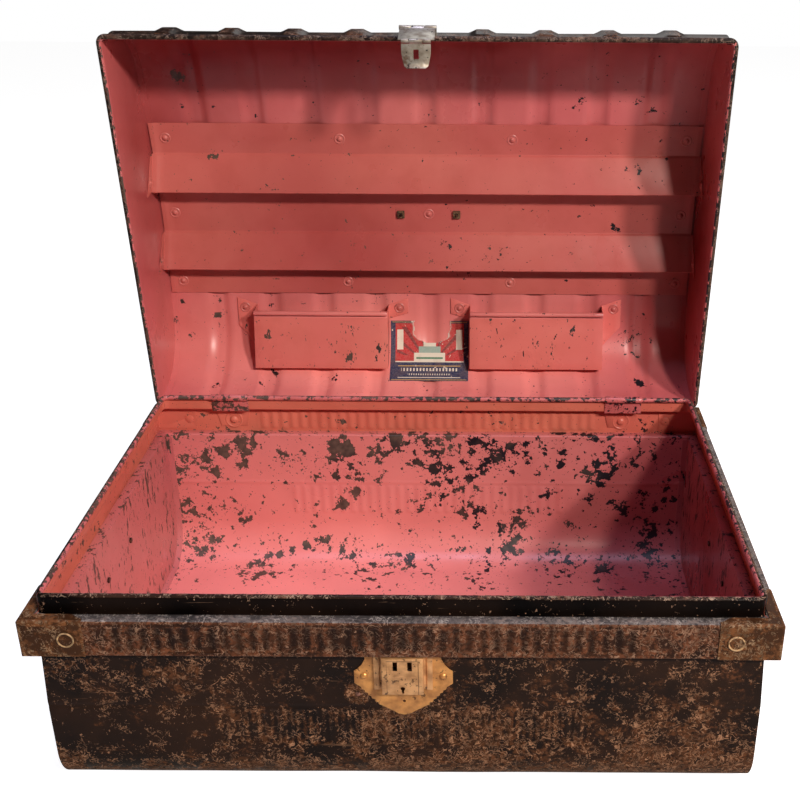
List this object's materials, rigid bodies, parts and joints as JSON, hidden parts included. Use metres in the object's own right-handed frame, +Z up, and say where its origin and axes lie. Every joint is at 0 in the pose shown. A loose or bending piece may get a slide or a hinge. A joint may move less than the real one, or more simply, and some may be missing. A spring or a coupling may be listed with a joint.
{
  "type": "travelling trunk",
  "caption": "Pressed-steel travelling trunk with a ribbed domed lid held open on strap hinges, inner lid pockets, a hasp, a slotted lock and drop handles.",
  "frame": {"origin": "centre of the flat floor face under the base", "axes": "+X along the trunk's length to its right end, -Y out of the lock side, +Z up; the lid stands open over the back"},
  "size_m": [0.7668, 0.6299, 0.7438],
  "materials": {
    "painted_sheet": "black japanned sheet steel, chipped and rust-brown where worn; salmon-pink paint inside",
    "inner_paint": "salmon-pink paint on steel, aged",
    "rusty_steel": "steel browned by rust",
    "lock_brass": "pressed brass, tarnished",
    "galvanised_steel": "worn plated steel with a rusty band",
    "label_paper": "printed paper, dull",
    "bare_steel": "bare dark steel"
  },
  "bodies": {
    "base": {"base_rim_wire": "bare_steel", "collar_back": "painted_sheet", "collar_front": "painted_sheet", "collar_left": "painted_sheet", "collar_right": "painted_sheet", "corner_cap_back_left": "rusty_steel", "corner_cap_back_right": "rusty_steel", "corner_cap_front_left": "rusty_steel", "corner_cap_front_right": "rusty_steel", "corner_patch_back_left": "inner_paint", "corner_patch_back_right": "inner_paint", "corner_patch_front_left": "inner_paint", "corner_patch_front_right": "inner_paint", "corner_rivet_back_left": "rusty_steel", "corner_rivet_back_right": "rusty_steel", "corner_rivet_front_left": "rusty_steel", "corner_rivet_front_right": "rusty_steel", "end_handle_eye_left_back": "bare_steel", "end_handle_eye_left_front": "bare_steel", "end_handle_eye_right_back": "bare_steel", "end_handle_eye_right_front": "bare_steel", "end_handle_plate_left": "painted_sheet", "end_handle_plate_right": "painted_sheet", "end_panel_left": "painted_sheet", "end_panel_right": "painted_sheet", "hinge_strap_left": "bare_steel", "hinge_strap_right": "bare_steel", "lock_case": "lock_brass", "lock_plate": "lock_brass", "lock_rivet_left": "lock_brass", "lock_rivet_right": "lock_brass", "lock_spring": "bare_steel", "strap_rivet_left": "inner_paint", "strap_rivet_right": "inner_paint", "tub_wrap": "painted_sheet"},
    "lid": {"hasp_leaf": "galvanised_steel", "hasp_pin_upper": "galvanised_steel", "lid_end_left": "painted_sheet", "lid_end_right": "painted_sheet", "lid_handle_eye_left": "bare_steel", "lid_handle_eye_right": "bare_steel", "lid_handle_nut_left": "bare_steel", "lid_handle_nut_right": "bare_steel", "lid_label": "label_paper", "lid_pocket_left": "inner_paint", "lid_pocket_right": "inner_paint", "lid_rim_wire": "bare_steel", "lid_stiffener": "inner_paint", "lid_wrap": "painted_sheet"},
    "hasp_plate": {"hasp_plate": "galvanised_steel", "hasp_pin_lower": "galvanised_steel"},
    "hasp_tongue": {"hasp_tongue": "galvanised_steel"},
    "lock_bolt": {"lock_bolt": "bare_steel"},
    "lid_handle": {"lid_handle_bail": "bare_steel"},
    "end_handle_left": {"end_handle_bail_left": "bare_steel"},
    "end_handle_right": {"end_handle_bail_right": "bare_steel"}
  },
  "joints": [
    {"name": "lid_hinge", "type": "hinge", "parent": "base", "child": "lid", "pos_m": [0, 0.2476, 0.2358], "axis": [1, 0, 0], "range_deg": [0, 84]},
    {"name": "hasp_plate_hinge", "type": "hinge", "parent": "lid", "child": "hasp_plate", "pos_m": [0, 0.20654, 0.74128], "axis": [1, 0, 0], "range_deg": [-8, 0]},
    {"name": "hasp_tongue_hinge", "type": "hinge", "parent": "hasp_plate", "child": "hasp_tongue", "pos_m": [0, 0.16579, 0.73112], "axis": [1, 0, 0], "range_deg": [-89, 0]},
    {"name": "lock_bolt_slide", "type": "slide", "parent": "base", "child": "lock_bolt", "axis": [1, 0, 0], "range_m": [0, 0.0045]},
    {"name": "lid_handle_swing", "type": "hinge", "parent": "lid", "child": "lid_handle", "pos_m": [0.0015, 0.36314, 0.47971], "axis": [1, 0, 0], "range_deg": [0, 160]},
    {"name": "end_handle_left_swing", "type": "hinge", "parent": "base", "child": "end_handle_left", "pos_m": [-0.3758, 0, 0.14], "axis": [0, 1, 0], "range_deg": [0, 160]},
    {"name": "end_handle_right_swing", "type": "hinge", "parent": "base", "child": "end_handle_right", "pos_m": [0.3758, 0, 0.14], "axis": [0, -1, 0], "range_deg": [0, 160]}
  ],
  "couplings": [
    {"joint": "hasp_plate_hinge", "follows": "lid_hinge", "ratio": -0.0952},
    {"joint": "hasp_tongue_hinge", "follows": "lid_hinge", "ratio": -1.0595}
  ]
}
